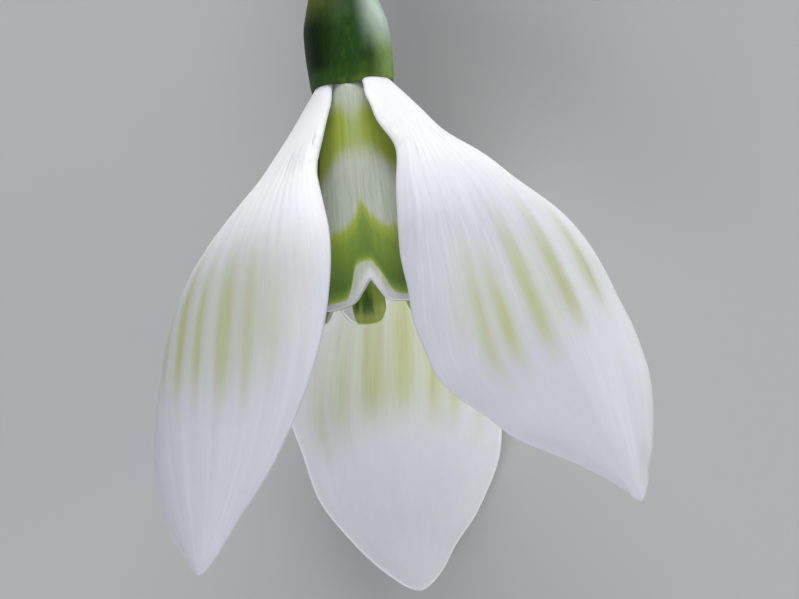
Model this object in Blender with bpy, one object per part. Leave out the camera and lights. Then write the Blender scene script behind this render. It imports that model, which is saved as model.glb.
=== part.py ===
"""Snowdrop flower, cut with a short hooked pedicel, lying on the back of its rear outer tepal.

The flower is modelled about its own axis as it hangs: +Z towards the stalk, the mouth at -Z and
the front at -Y. An empty named "flower" then lays it on the surface, which is at Z = 0.
The world origin is under the middle of the whole flower, +Y runs from the mouth to the stalk.
"""
import math

import bpy
from mathutils import Euler, Matrix, Vector

MM = 0.001
GAP = 0.3 * MM                          # clearance between neighbours that touch

# How the flower lies
RECEPTACLE = Vector((-2.58, 4.29, 9.22)) * MM     # where ovary, tepals and stamens meet
MOUTH_RISE = math.radians(9.0)          # the mouth end is lifted off level by this much
SWING = math.radians(7.0)               # and swung towards +X by this much
LAY_DOWN = Euler((-math.pi / 2 - MOUTH_RISE, 0.0, SWING)).to_matrix()

# Outer tepals
OUTER_THICKNESS = 0.5 * MM
OUTER_ROWS = 22                         # faces along a tepal
OUTER_COLUMNS = 10                      # faces across it
CLAW_REACH = 0.25                       # share of the length over which the claw widens
TWIST_REACH = 0.35                      # share of the length over which the twist comes in

# Inner tepals
INNER_THICKNESS = 0.4 * MM
INNER_LENGTH = 12.3 * MM
INNER_ROWS = 12
INNER_COLUMNS = 12
CUP_BASE_RADIUS = 1.1 * MM
CUP_SWELL = 1.1 * MM                    # quick widening just under the ovary
CUP_SWELL_LENGTH = 3.0 * MM
CUP_FLARE = 0.09                        # slow widening down to the mouth
SINUS_DEPTH = 1.2 * MM                  # notch in each inner tepal's end
SINUS_HALF_WIDTH = 0.16                 # as a share of the tepal's half width
SHOULDER_DROP = 2.6 * MM                # how far the rounded corners stand back
INNER_TURNS = {"front": -4.0, "rear_right": 111.0, "rear_left": -132.0}

# Ovary and pedicel: (distance above the receptacle, radius) down the ovary's side
OVARY_PROFILE = ((0.15, 0.0), (0.15, 1.75), (0.2, 2.08), (0.6, 2.22), (1.8, 2.26), (2.9, 2.19),
                 (4.5, 1.76), (5.6, 1.37), (6.8, 0.93), (7.7, 0.66), (8.0, 0.6), (8.0, 0.0))
OVARY_SEGMENTS = 28
OVARY_TOP = 8.0 * MM
PEDICEL_RADIUS = 0.55 * MM
PEDICEL_BEND = math.radians(57.0)       # how far the pedicel hooks over
PEDICEL_POINTS = 18

# Stamens and style
STAMEN_COUNT = 6
FILAMENT_RADIUS = 0.15 * MM
FILAMENT_LENGTH = 1.8 * MM
FILAMENT_FOOT = 0.6 * MM               # distance of its foot from the axis
ANTHER_LENGTH = 5.7 * MM
ANTHER_HALF_WIDTH = 0.36 * MM
ANTHER_FOOT = 1.05 * MM                 # distance of its base from the axis
ANTHER_LEAN = math.radians(3.2)         # the anthers close to a cone
ANTHER_OUTLINE = ((0.0, 0.45), (0.06, 0.85), (0.25, 1.0), (0.55, 0.85), (0.85, 0.45), (1.0, 0.1))
STYLE_RADIUS = 0.15 * MM
STYLE_LENGTH = 9.3 * MM

# Each outer tepal. Lengths in millimetres, angles in degrees.
# midrib: Bezier points as (down the axis, out from it); drift: sideways bow of the midrib, as the
# factors of the squared and cubed length; fullness: powers of the blade's outline at base and tip;
# cup: how far an edge turns in from the midrib; flatness: 0 cups evenly, 1 keeps the middle flat;
# lopsided: share by which one half is wider than the other.
OUTER_TEPALS = {
    "left": {
        "turn": -50.5, "midrib": ((0.0, 1.95), (7.1, 6.25), (7.2, 10.35), (25.55, 14.85)),
        "drift": (-0.05, 2.1), "twist": -10.5, "half_width": 6.5, "fullness": (1.79, 0.81),
        "claw": 1.1, "cup": 42.5, "claw_cup": 50.0, "flatness": 0.3, "lopsided": -0.09},
    "right": {
        "turn": 49.6, "midrib": ((0.0, 1.95), (5.75, 6.7), (12.15, 10.7), (23.95, 14.25)),
        "drift": (2.1, -0.65), "twist": 23.5, "half_width": 6.2, "fullness": (1.77, 0.98),
        "claw": 1.3, "cup": 44.0, "claw_cup": 53.0, "flatness": 0.3, "lopsided": -0.08},
    "back": {
        "turn": 180.0, "midrib": ((0.0, 1.9), (6.2, 4.5), (14.9, 15.1), (25.6, 11.8)),
        "drift": (0.0, -0.3), "twist": 0.0, "half_width": 5.95, "fullness": (1.56, 0.84),
        "claw": 1.05, "cup": 46.0, "claw_cup": 50.0, "flatness": 0.85, "lopsided": 0.0},
}

# Colour (linear RGB) and roughness
FINISHES = {
    "outer_tepal": ((0.72, 0.73, 0.78), 0.55),
    "inner_tepal": ((0.45, 0.5, 0.28), 0.55),
    "ovary": ((0.06, 0.13, 0.03), 0.4),
    "pedicel": ((0.1, 0.2, 0.05), 0.45),
    "filament": ((0.8, 0.8, 0.75), 0.6),
    "anther": ((0.8, 0.4, 0.06), 0.6),
    "style": ((0.75, 0.78, 0.6), 0.6),
}


def clear_scene():
    for item in list(bpy.data.objects):
        bpy.data.objects.remove(item, do_unlink=True)


def finish_for(kind):
    colour, roughness = FINISHES[kind]
    material = bpy.data.materials.new(kind)
    material.use_nodes = True
    shader = material.node_tree.nodes["Principled BSDF"]
    shader.inputs["Base Color"].default_value = (*colour, 1.0)
    shader.inputs["Roughness"].default_value = roughness
    shader.inputs["Metallic"].default_value = 0.0
    return material


def add_object(name, data, kind, parent):
    item = bpy.data.objects.new(name, data)
    bpy.context.scene.collection.objects.link(item)
    item.data.materials.append(finish_for(kind))
    item.parent = parent
    return item


def mesh_from(name, points, faces):
    mesh = bpy.data.meshes.new(name)
    mesh.from_pydata([tuple(point) for point in points], [], faces)
    mesh.update()
    mesh.shade_smooth()
    return mesh


def smoothstep(x):
    x = min(max(x, 0.0), 1.0)
    return x * x * (3.0 - 2.0 * x)


def hanging(down, out, turn):
    """Point in the hanging flower: down its axis, out from it, turned from the front to +X."""
    return Vector((out * math.sin(turn), -out * math.cos(turn), -down))


def bezier(controls, u):
    """Point and derivative of a cubic Bezier curve at u."""
    a, b, c, d = controls
    w = 1.0 - u
    point = a * w**3 + b * (3 * w * w * u) + c * (3 * w * u * u) + d * u**3
    slope = (b - a) * (3 * w * w) + (c - b) * (6 * w * u) + (d - c) * (3 * u * u)
    return point, slope


def cross_section(v, edge_turn, flatness):
    """Offset (across, inwards) at v of a section one unit wide whose edge turns in by edge_turn."""
    steps = 24
    across = 0.0
    inwards = 0.0
    for step in range(steps):
        w = v * (step + 0.5) / steps
        angle = edge_turn * ((1.0 - flatness) * w + flatness * w**3)
        across += math.cos(angle) * v / steps
        inwards += math.sin(angle) * v / steps
    return across, inwards


def half_width_at(u, tepal):
    """Half width of an outer tepal: a narrow claw that opens into a blade."""
    base_power, tip_power = tepal["fullness"]
    widest = base_power / (base_power + tip_power)
    claw = tepal["claw"] * math.sqrt(1.0 - u) * math.exp(-(u / CLAW_REACH)**2)
    blade = (u / widest)**base_power * ((1.0 - u) / (1.0 - widest))**tip_power
    return (claw + tepal["half_width"] * blade) * MM


def outer_tepal_point(u, v, tepal):
    """Point of an outer tepal's middle surface, u from claw to tip and v from edge to edge."""
    turn = math.radians(tepal["turn"])
    outwards = hanging(0.0, 1.0, turn)
    sideways = hanging(0.0, 1.0, turn + math.pi / 2)
    controls = [hanging(down * MM, out * MM, turn) for down, out in tepal["midrib"]]
    midrib, along = bezier(controls, u)
    midrib += hanging(GAP / 2, 0.0, 0.0)
    bow, hook = tepal["drift"]
    midrib += sideways * ((bow * u**2 + hook * u**3) * MM)
    along += sideways * ((2 * bow * u + 3 * hook * u**2) * MM)
    along.normalize()
    back = (outwards - along * outwards.dot(along)).normalized()
    right = back.cross(along)
    right *= math.copysign(1.0, right.dot(sideways))
    twist = math.radians(tepal["twist"]) * smoothstep(u / TWIST_REACH)
    turned_right = right * math.cos(twist) + back * math.sin(twist)
    turned_back = back * math.cos(twist) - right * math.sin(twist)
    claw_share = math.exp(-(u / 0.2)**2)
    edge_turn = math.radians(tepal["cup"] + (tepal["claw_cup"] - tepal["cup"]) * claw_share)
    across, inwards = cross_section(v, edge_turn, tepal["flatness"])
    uneven = 1.0 + tepal["lopsided"] * math.copysign(1.0 - math.exp(-(v / 0.4)**2), v)
    width = half_width_at(u, tepal) * uneven
    return midrib + turned_right * (across * width) - turned_back * (inwards * width)


def rest_on_surface(point, clearance):
    """Press a point of the hanging flower flat where it would reach below the surface."""
    world = LAY_DOWN @ point + RECEPTACLE
    world.z = max(world.z, clearance)
    return LAY_DOWN.inverted() @ (world - RECEPTACLE)


def add_solidify(item, thickness):
    solidify = item.modifiers.new("thickness", "SOLIDIFY")
    solidify.thickness = thickness
    solidify.offset = 0.0


def grid_faces(rows, columns):
    """Quads of a grid of points stored row after row, each row columns + 1 points long."""
    faces = []
    for row in range(rows):
        for column in range(columns):
            first = row * (columns + 1) + column
            faces.append((first, first + 1, first + columns + 2, first + columns + 1))
    return faces


def build_outer_tepal(side, tepal, parent):
    """One outer tepal: a cupped blade that narrows to its claw, closed to a point at the tip."""
    points = []
    for row in range(OUTER_ROWS):
        u = row / OUTER_ROWS
        for column in range(OUTER_COLUMNS + 1):
            v = -1.0 + 2.0 * column / OUTER_COLUMNS
            point = outer_tepal_point(u, v, tepal)
            points.append(rest_on_surface(point, OUTER_THICKNESS / 2))
    tip = len(points)
    points.append(outer_tepal_point(1.0, 0.0, tepal))
    faces = grid_faces(OUTER_ROWS - 1, OUTER_COLUMNS)
    last_row = tip - OUTER_COLUMNS - 1
    for column in range(OUTER_COLUMNS):
        faces.append((last_row + column, last_row + column + 1, tip))
    mesh = mesh_from(f"outer_tepal_{side}", points, faces)
    item = add_object(f"outer_tepal_{side}", mesh, "outer_tepal", parent)
    add_solidify(item, OUTER_THICKNESS)


def cup_radius(down):
    """Radius of the cup that the inner tepals form, at a distance down from the receptacle."""
    swell = 1.0 - math.exp(-down / CUP_SWELL_LENGTH)
    return CUP_BASE_RADIUS + CUP_SWELL * swell + CUP_FLARE * down


def inner_tepal_end(v):
    """Where an inner tepal ends at v: two lobes with a notch between them and round corners."""
    notch = SINUS_DEPTH * math.exp(-(v / SINUS_HALF_WIDTH)**2)
    corner = SHOULDER_DROP * abs(v)**5
    return INNER_LENGTH - notch - corner


def inner_tepal_mesh():
    """A third of the cup, with a clearance to the tepal on each side."""
    points = []
    for row in range(INNER_ROWS + 1):
        for column in range(INNER_COLUMNS + 1):
            v = -1.0 + 2.0 * column / INNER_COLUMNS
            down = GAP + (inner_tepal_end(v) - GAP) * row / INNER_ROWS
            radius = cup_radius(down)
            half_angle = math.pi / 3 - GAP / radius
            points.append(hanging(down, radius, v * half_angle))
    return mesh_from("inner_tepal", points, grid_faces(INNER_ROWS, INNER_COLUMNS))


def build_inner_tepals(parent):
    for place, turn in INNER_TURNS.items():
        item = add_object(f"inner_tepal_{place}", inner_tepal_mesh(), "inner_tepal", parent)
        item.rotation_euler.z = math.radians(turn)
        add_solidify(item, INNER_THICKNESS)


def turned_mesh(name, profile, segments):
    """Closed solid turned about Z from (height, radius) points whose first and last radius is 0."""
    points = [Vector((0.0, 0.0, profile[0][0]))]
    for height, radius in profile[1:-1]:
        for segment in range(segments):
            angle = 2.0 * math.pi * segment / segments
            points.append(Vector((radius * math.cos(angle), radius * math.sin(angle), height)))
    points.append(Vector((0.0, 0.0, profile[-1][0])))
    last = len(points) - 1
    rings = len(profile) - 2
    faces = []
    for segment in range(segments):
        following = (segment + 1) % segments
        faces.append((0, 1 + following, 1 + segment))
        for ring in range(rings - 1):
            low = 1 + ring * segments
            high = low + segments
            faces.append((low + segment, low + following, high + following, high + segment))
        top = 1 + (rings - 1) * segments
        faces.append((top + segment, top + following, last))
    return mesh_from(name, points, faces)


def build_ovary(parent):
    profile = [(height * MM, radius * MM) for height, radius in OVARY_PROFILE]
    add_object("ovary", turned_mesh("ovary", profile, OVARY_SEGMENTS), "ovary", parent)


def build_pedicel(parent):
    """A short round stalk that hooks over until the lower rim of its cut end meets the surface."""
    start = OVARY_TOP + GAP
    end_slope = MOUTH_RISE + PEDICEL_BEND * (1.0 - 0.5 / (PEDICEL_POINTS - 1))
    drop = RECEPTACLE.z - PEDICEL_RADIUS * math.cos(end_slope) - math.sin(MOUTH_RISE) * start
    fall = math.cos(MOUTH_RISE) * (1.0 - math.cos(PEDICEL_BEND))
    reach = math.sin(MOUTH_RISE) * math.sin(PEDICEL_BEND)
    bend_radius = drop / (fall + reach)
    curve = bpy.data.curves.new("pedicel", "CURVE")
    curve.dimensions = "3D"
    curve.bevel_depth = PEDICEL_RADIUS
    curve.bevel_resolution = 2
    curve.use_fill_caps = True
    spline = curve.splines.new("POLY")
    spline.points.add(PEDICEL_POINTS - 1)
    for index, point in enumerate(spline.points):
        angle = PEDICEL_BEND * index / (PEDICEL_POINTS - 1)
        y = bend_radius * (1.0 - math.cos(angle))
        z = start + bend_radius * math.sin(angle)
        point.co = (0.0, y, z, 1.0)
    add_object("pedicel", curve, "pedicel", parent)


def build_stamens(parent):
    """Six stamens in a ring: a short pale filament under each pointed anther."""
    lean_out = math.atan2(ANTHER_FOOT - FILAMENT_FOOT, FILAMENT_LENGTH)
    filament_profile = ((0.0, 0.0), (0.0, FILAMENT_RADIUS), (FILAMENT_LENGTH, FILAMENT_RADIUS),
                        (FILAMENT_LENGTH, 0.0))
    filament = turned_mesh("filament", filament_profile, 8)
    outline = [(share * ANTHER_LENGTH, width * ANTHER_HALF_WIDTH) for share, width in ANTHER_OUTLINE]
    anther_profile = [(0.0, 0.0), *outline, (ANTHER_LENGTH, 0.0)]
    anther = turned_mesh("anther", anther_profile, 8)
    anther_start = GAP + FILAMENT_LENGTH * math.cos(lean_out) + GAP
    for index in range(STAMEN_COUNT):
        turn = 2.0 * math.pi * (index + 0.5) / STAMEN_COUNT
        number = index + 1
        stalk = add_object(f"filament_{number}", filament.copy(), "filament", parent)
        stalk.matrix_local = place_pointing_down(GAP, FILAMENT_FOOT, turn, lean_out)
        sac = add_object(f"anther_{number}", anther.copy(), "anther", parent)
        sac.matrix_local = place_pointing_down(anther_start, ANTHER_FOOT, turn, -ANTHER_LEAN)


def place_pointing_down(down, out, turn, lean):
    """Matrix that points a mesh's +Z towards the mouth, leaning out from the axis by lean."""
    place = Matrix.Translation(hanging(down, out, turn))
    around = Matrix.Rotation(turn, 4, "Z")
    tip_over = Matrix.Rotation(math.pi - lean, 4, "X")
    return place @ around @ tip_over


def build_style(parent):
    profile = ((0.0, 0.0), (0.0, STYLE_RADIUS), (STYLE_LENGTH, STYLE_RADIUS), (STYLE_LENGTH, 0.0))
    style = add_object("style", turned_mesh("style", profile, 8), "style", parent)
    style.matrix_local = place_pointing_down(GAP, 0.0, 0.0, 0.0)


def build_flower():
    clear_scene()
    flower = bpy.data.objects.new("flower", None)
    bpy.context.scene.collection.objects.link(flower)
    flower.location = RECEPTACLE
    flower.rotation_euler = LAY_DOWN.to_euler()
    build_ovary(flower)
    build_pedicel(flower)
    for side, tepal in OUTER_TEPALS.items():
        build_outer_tepal(side, tepal, flower)
    build_inner_tepals(flower)
    build_stamens(flower)
    build_style(flower)


build_flower()
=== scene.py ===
"""Snowdrop flower: the looks of a picked snowdrop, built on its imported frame.

The flower lies on the back of its rear outer tepal. Every piece is worked out about the flower's
own axis, as it hangs: +Z towards the stalk, the mouth at -Z and the front at -Y. One matrix, read
from where the frame's style lies, then takes it to its place on the surface.
"""
import math
from types import SimpleNamespace as Tepal

import bmesh
import bpy
import numpy as np
from bpy.props import FloatProperty, FloatVectorProperty, IntProperty, PointerProperty
from mathutils import Matrix, Vector


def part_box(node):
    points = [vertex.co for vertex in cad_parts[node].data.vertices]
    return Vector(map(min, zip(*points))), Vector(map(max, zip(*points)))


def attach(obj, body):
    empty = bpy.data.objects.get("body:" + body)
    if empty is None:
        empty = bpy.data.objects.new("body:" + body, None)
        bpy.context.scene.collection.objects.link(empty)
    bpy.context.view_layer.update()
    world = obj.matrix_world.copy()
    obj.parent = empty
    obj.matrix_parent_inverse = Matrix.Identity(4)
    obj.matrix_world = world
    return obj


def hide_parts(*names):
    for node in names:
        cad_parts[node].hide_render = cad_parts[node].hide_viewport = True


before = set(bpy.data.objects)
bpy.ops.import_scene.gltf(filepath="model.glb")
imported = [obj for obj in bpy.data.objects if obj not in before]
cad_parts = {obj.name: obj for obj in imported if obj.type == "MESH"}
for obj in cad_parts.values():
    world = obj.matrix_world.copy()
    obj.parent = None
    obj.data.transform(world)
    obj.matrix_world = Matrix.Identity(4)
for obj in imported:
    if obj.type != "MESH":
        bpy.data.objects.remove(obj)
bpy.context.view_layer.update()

bl_info = {
    "name": "Snowdrop Flower",
    "version": (1, 0, 0),
    "blender": (4, 5, 0),
    "location": "3D View > Sidebar > Snowdrop",
    "description": "Builds a picked snowdrop flower with its petals, ovary, stalk and stamens",
    "category": "Add Mesh",
}

MM = 0.001
SEAT_GAP = 0.3 * MM  # the frame keeps this much between neighbours that touch
BODY = "root"

# The outer tepals' shapes, in millimetres and degrees. Places along a tepal run from 0 at the claw
# to 1 at the tip, places across it from -1 to 1, and a margin is -1 or 1.
# midrib: Bezier points (down the axis, out from it); drift: factors of its bow, squared and cubed
# fullness: powers of the outline at base and tip; tip: half width of the blunt tip
# claw, claw_top: half width of the claw, and the share of it left at its very end
# cup, claw_cup: how far an edge turns in; flatness: 0 cups evenly, 1 keeps the middle flat
# lopsided: share by which one half is wider; vein_slant: how fast the veins cross the tepal
# waist: narrowing (along, reach, share of the width)
# rolled: thick bumpy stretch (margin, start, end, height)
# keel: soft ridge up from the tip (across, half width, start, height)
# wash: green between the stripes
# thin: greyness of the thin blade (strength, how much more on one side, start, end)
# thin: painted shade, a greyer colour over the lower blade (strength, how much more on one side, start,
# end)
# stripes: (across, strength, start, end, half width)
OUTER_TEPALS = {
    "left": Tepal(
        turn=-50.5, midrib=((0.0, 1.78), (7.1, 6.25), (7.2, 10.35), (25.55, 14.85)),
        drift=(-0.05, 2.1), twist=-10.5, half_width=6.5, fullness=(1.79, 0.81),
        claw=1.0, cup=42.5, claw_cup=28.0, flatness=0.3, lopsided=-0.09,
        vein_slant=0.8, seed=1, claw_top=0.62, tip=0.2, wash=0.3,
        waist=(0.25, 0.08, 0.14), thin=(1.0, 0.0, 0.28, 0.62),
        rolled=(1, 0.13, 0.31, 0.08), keel=(-0.2, 0.3, 0.7, 0.06),
        bulges=((1, 0.63, 0.10, -0.14), (1, 0.955, 0.035, -0.45),
            (-1, 0.26, 0.12, -0.08), (-1, 0.46, 0.05, 0.14), (-1, 0.71, 0.09, -0.5),
            (-1, 0.98, 0.04, -0.2)),
        stripes=((-0.50, 0.95, 0.42, 0.80, 0.055), (-0.25, 0.75, 0.46, 0.81, 0.055),
            (0.03, 0.8, 0.46, 0.83, 0.07), (0.28, 0.56, 0.46, 0.84, 0.065),
            (0.50, 0.3, 0.50, 0.82, 0.06), (-0.78, 0.8, 0.50, 0.76, 0.045))),
    "right": Tepal(
        turn=49.6, midrib=((0.0, 1.78), (5.75, 6.7), (12.15, 10.7), (24.28, 14.2)),
        drift=(2.1, -0.78), twist=23.5, half_width=6.2, fullness=(1.77, 0.98),
        claw=1.15, cup=44.0, claw_cup=28.0, flatness=0.3, lopsided=-0.08,
        vein_slant=-0.8, seed=2, claw_top=0.85, tip=0.26, wash=0.14,
        waist=(0.19, 0.065, 0.23), thin=(0.95, -0.6, 0.16, 0.52),
        rolled=(-1, 0.06, 0.24, 0.07), keel=(0.2, 0.32, 0.55, 0.3),
        bulges=((-1, 0.13, 0.06, 0.5), (-1, 0.50, 0.06, -0.2),
            (-1, 0.71, 0.05, 0.32), (-1, 0.805, 0.03, -0.2), (-1, 0.91, 0.045, -0.76),
            (-1, 0.965, 0.04, -0.62), (-1, 0.05, 0.035, 0.3), (1, 0.19, 0.09, -0.24),
            (1, 0.36, 0.06, -0.26), (1, 0.68, 0.14, -0.22), (1, 0.955, 0.012, -0.14)),
        stripes=((-0.55, 0.8, 0.42, 0.775, 0.048), (-0.385, 1.0, 0.46, 0.765, 0.05),
            (-0.13, 1.0, 0.39, 0.76, 0.055), (0.21, 0.92, 0.38, 0.735, 0.064),
            (0.57, 0.8, 0.39, 0.70, 0.075), (0.03, 0.3, 0.46, 0.74, 0.05),
            (-0.68, 0.25, 0.44, 0.70, 0.05), (0.78, 0.3, 0.46, 0.66, 0.05))),
    "back": Tepal(
        turn=180.0, midrib=((0.0, 1.78), (6.2, 4.5), (14.9, 15.1), (25.6, 11.8)),
        drift=(0.0, -0.3), twist=0.0, half_width=5.95, fullness=(1.56, 0.84),
        claw=1.05, cup=46.0, claw_cup=40.0, flatness=0.85, lopsided=0.0,
        vein_slant=0.7, seed=3, claw_top=0.8, tip=0.3, wash=0.3,
        waist=(0.2, 0.1, 0.0), thin=(0.3, 1.0, 0.16, 0.52),
        rolled=(-1, 0.06, 0.24, 0.03), keel=(0.1, 0.3, 0.5, -0.12),
        bulges=((1, 0.73, 0.06, -0.3), (-1, 0.775, 0.07, 0.26), (-1, 0.93, 0.035, -0.3)),
        stripes=((0.70, 0.4, 0.46, 0.76, 0.08), (0.49, 0.48, 0.38, 0.73, 0.085),
            (0.20, 0.8, 0.34, 0.70, 0.10), (-0.08, 0.85, 0.32, 0.69, 0.10),
            (-0.37, 0.75, 0.36, 0.71, 0.07), (-0.58, 0.75, 0.42, 0.725, 0.045),
            (-0.80, 0.4, 0.52, 0.76, 0.05))),
}
OUTER_ROWS = 200
OUTER_COLUMNS = 96
CLAW_REACH = 0.25  # share of the length over which the claw widens
TWIST_REACH = 0.35  # share of the length over which the twist comes in
STRIPE_LEVEL = 0.65  # share of the length at which stripe places are given
MAIN_VEINS = 17.0  # veins across an outer tepal
BULGE_WIDTH = 0.8  # mm, half width below which the margins' bulges fade out
RIM_ROUNDNESS = 0.9  # how far a petal's rim stands out, as a share of half its thickness

# The three inner tepals, in degrees: turn from the front, (left, right) angles spanned, (left,
# right) angles at which the mouth's corners are rounded off, and the seed of small differences
INNER_TEPALS = {
    "front": (-4.0, (62.0, 62.0), (62.0, 62.0), 11),
    "rear_right": (106.0, (52.0, 68.0), (52.0, 52.0), 12),
    "rear_left": (-139.0, (47.0, 78.0), (52.0, 63.0), 13),
}
INNER_ROWS = 130
INNER_COLUMNS = 96
INNER_RIBS = 13.0  # ribs across an inner tepal
STREAK_ANGLE = 60.0  # degrees round the cup for one unit of the across field
INNER_START = 0.1  # mm, down the axis to the top of an inner tepal
INNER_LENGTH = 12.32  # mm, down the axis to the end of a lobe
CORNER_CUT = 6.0  # mm, longest cut at a corner of an inner tepal
CUP_BASE_RADIUS = 1.15  # mm
CUP_SWELL = 1.25  # mm, quick widening just under the ovary
CUP_SWELL_LENGTH = 2.6  # mm
CUP_FLARE = 0.075  # slow widening down to the mouth

# The ovary's outline, as (height above the receptacle, radius) in mm, from inside its rim
OVARY_SIDE = ((-0.27, 2.02), (-0.31, 2.08), (-0.24, 2.15), (0.1, 2.20), (0.6, 2.23), (1.3, 2.26),
              (2.1, 2.25), (2.9, 2.2), (3.7, 2.0), (4.5, 1.76), (5.6, 1.35), (6.8, 0.93),
              (7.6, 0.69), (8.05, 0.61), (8.3, 0.6))
OVARY_UNDERSIDE = ((0.05, 1.2), (0.05, 1.9), (-0.1, 1.97))
RIM_DIPS = (267.0, 25.0, 155.0)  # degrees round the ovary, between the outer tepals' claws
STALK_POINTS = 49  # along its bend
STAMEN_COUNT = 6
FILAMENT_LEAN = 13.0  # degrees out from the axis
FILAMENT_DROP = 0.1  # mm below the receptacle
ANTHER_LEAN = -3.2  # degrees, in towards the axis
ANTHER_DROP = 2.1  # mm below the receptacle


# --- the flower's place

def node_points(node):
    return np.array([vertex.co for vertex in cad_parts[node].data.vertices])


def flower_matrix():
    """Matrix from the hanging flower, in metres, to its place: the style lies along its axis."""
    points = node_points("style")
    middle = points.mean(axis=0)
    along = np.linalg.svd(points - middle, full_matrices=False)[2][0]
    along *= np.sign(along[1])
    reach = (points - middle) @ along
    stalk_end = Vector(points[reach > reach.max() - 0.1 * MM].mean(axis=0))
    mouth_end = Vector(points[reach < reach.min() + 0.1 * MM].mean(axis=0))
    axis = (mouth_end - stalk_end).normalized()
    front = (Vector((0.0, 0.0, 1.0)) - axis * axis.z).normalized()
    side = front.cross(axis)
    turned = Matrix((side, -front, -axis)).transposed().to_4x4()
    return Matrix.Translation(stalk_end - axis * SEAT_GAP) @ turned


FLOWER = flower_matrix()
FLOWER_ROTATION = np.array(FLOWER.to_3x3())
FLOWER_PLACE = np.array(FLOWER.translation)


def to_world(points):
    """Points of the hanging flower, in millimetres, to their place in metres."""
    return (points * MM) @ FLOWER_ROTATION.T + FLOWER_PLACE


def to_hanging(points):
    """The reverse of to_world."""
    return ((points - FLOWER_PLACE) @ FLOWER_ROTATION) / MM


def hanging(down, out, turn):
    """Points of the hanging flower: down its axis, out from it, turned from the front to +X."""
    down, out, turn = np.broadcast_arrays(down, out, turn)
    return np.stack([out * np.sin(turn), -out * np.cos(turn), -down], axis=-1)


# --- small maths

def smoothstep(low, high, x):
    x = np.clip((x - low) / (high - low), 0.0, 1.0)
    return x * x * (3.0 - 2.0 * x)


def window(x, start, full, fading, end):
    """1 from full to fading, with smooth steps down to 0 at start and end."""
    return smoothstep(start, full, x) * (1.0 - smoothstep(fading, end, x))


def bump(x, centre, half_width):
    """Bell curve that is 1 at centre."""
    return np.exp(-((x - centre) / half_width)**2)


def unit(vectors):
    return vectors / np.maximum(np.linalg.norm(vectors, axis=-1, keepdims=True), 1e-9)


def dot(a, b):
    return np.sum(a * b, axis=-1, keepdims=True)


def soft_noise(x, y, seed, octaves=3):
    """Smooth noise from about -1 to 1: waves with directions and phases drawn from the seed."""
    draw = np.random.default_rng(seed)
    total = np.zeros(np.broadcast(x, y).shape)
    weight = 1.0
    reach = 0.0
    for octave in range(octaves):
        for _ in range(4):
            angle = draw.uniform(0.0, 2.0 * math.pi)
            phase = draw.uniform(0.0, 2.0 * math.pi)
            rate = 2.0**octave * draw.uniform(0.7, 1.4)
            total = total + weight * np.sin(rate * (x * math.cos(angle) + y * math.sin(angle)) + phase)
        reach += 2.0 * weight
        weight *= 0.5
    return total / reach


# --- meshes and pieces

def sheet_normals(points, outwards):
    """Unit normals of a grid of points, on the side that outwards points to."""
    normals = unit(np.cross(np.gradient(points, axis=0), np.gradient(points, axis=1)))
    return normals * np.sign(np.sum(dot(normals, outwards)[2:-2, 2:-2]))


def ring_faces(first, size, count):
    """Quads between rings of points of one size, where first is the first ring's first point."""
    faces = []
    for low in range(first, first + (count - 1) * size, size):
        for place in range(size):
            after = low + (place + 1) % size
            faces.append((low + place, after, after + size, low + size + place))
    return faces


def fan_faces(first, size, centre):
    """Triangles from a ring of points to one point."""
    return [(first + place, first + (place + 1) % size, centre) for place in range(size)]


def make_mesh(name, points, faces, fields):
    """Mesh that keeps each field, a number for every point, as an attribute."""
    mesh = bpy.data.meshes.new(name)
    mesh.from_pydata(points.tolist(), [], faces)
    for key, values in fields.items():
        attribute = mesh.attributes.new(key, "FLOAT", "POINT")
        attribute.data.foreach_set("value", values.astype(np.float32))
    return mesh


def closed_petal(name, middle, normals, thickness, fields, tip):
    """Mesh of a petal: a sheet with two faces and a round rim, in millimetres before its place.

    middle is a grid of points, rows from claw to tip. fields are per-point values, kept as
    attributes of the mesh. With tip, the last row meets in one point.
    """
    rows, columns = middle.shape[:2]
    half = thickness[..., None] / 2
    edges = []
    for column, neighbour in ((columns - 1, columns - 2), (0, 1)):
        outward = unit(middle[:, column] - middle[:, neighbour]) * RIM_ROUNDNESS
        edges.append((middle[:, column] + outward * half[:, column])[:, None])
    face_in = (middle - normals * half)[:, ::-1]
    rings = np.concatenate([middle + normals * half, edges[0], face_in, edges[1]], axis=1)
    size = rings.shape[1]
    inside = np.concatenate([np.zeros(columns), [0.5], np.ones(columns), [0.5]])
    stored = {"inside": np.tile(inside, (rows, 1))}
    for key, value in fields.items():
        stored[key] = np.concatenate([value, value[:, -1:], value[:, ::-1], value[:, :1]], axis=1)
    solid_rows = rows - 1 if tip else rows
    points = rings[:solid_rows].reshape(-1, 3)
    values = {key: value[:solid_rows].reshape(-1) for key, value in stored.items()}
    faces = ring_faces(0, size, solid_rows)
    for row in [0] if tip else [0, solid_rows - 1]:
        low = row * size
        for column in range(columns - 1):
            inner = low + 2 * columns - column
            faces.append((low + column, low + column + 1, inner - 1, inner))
        faces.append((low + columns - 1, low + columns, low + columns + 1))
        faces.append((low, low + 2 * columns, low + 2 * columns + 1))
    if tip:
        centre = columns // 2
        points = np.concatenate([points, middle[-1:, centre]])
        values = {key: np.append(values[key], stored[key][-1, centre]) for key in values}
        faces += fan_faces((solid_rows - 1) * size, size, len(points) - 1)
    return make_mesh(name, to_world(points), faces, values)


def finish_mesh(mesh):
    """Turn the faces of a closed mesh outwards and shade it smooth."""
    work = bmesh.new()
    work.from_mesh(mesh)
    bmesh.ops.recalc_face_normals(work, faces=work.faces)
    work.to_mesh(mesh)
    work.free()
    mesh.shade_smooth()
    mesh.update()


def add_object(name, data):
    item = bpy.data.objects.new(name, data)
    bpy.context.scene.collection.objects.link(item)
    return item


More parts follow.
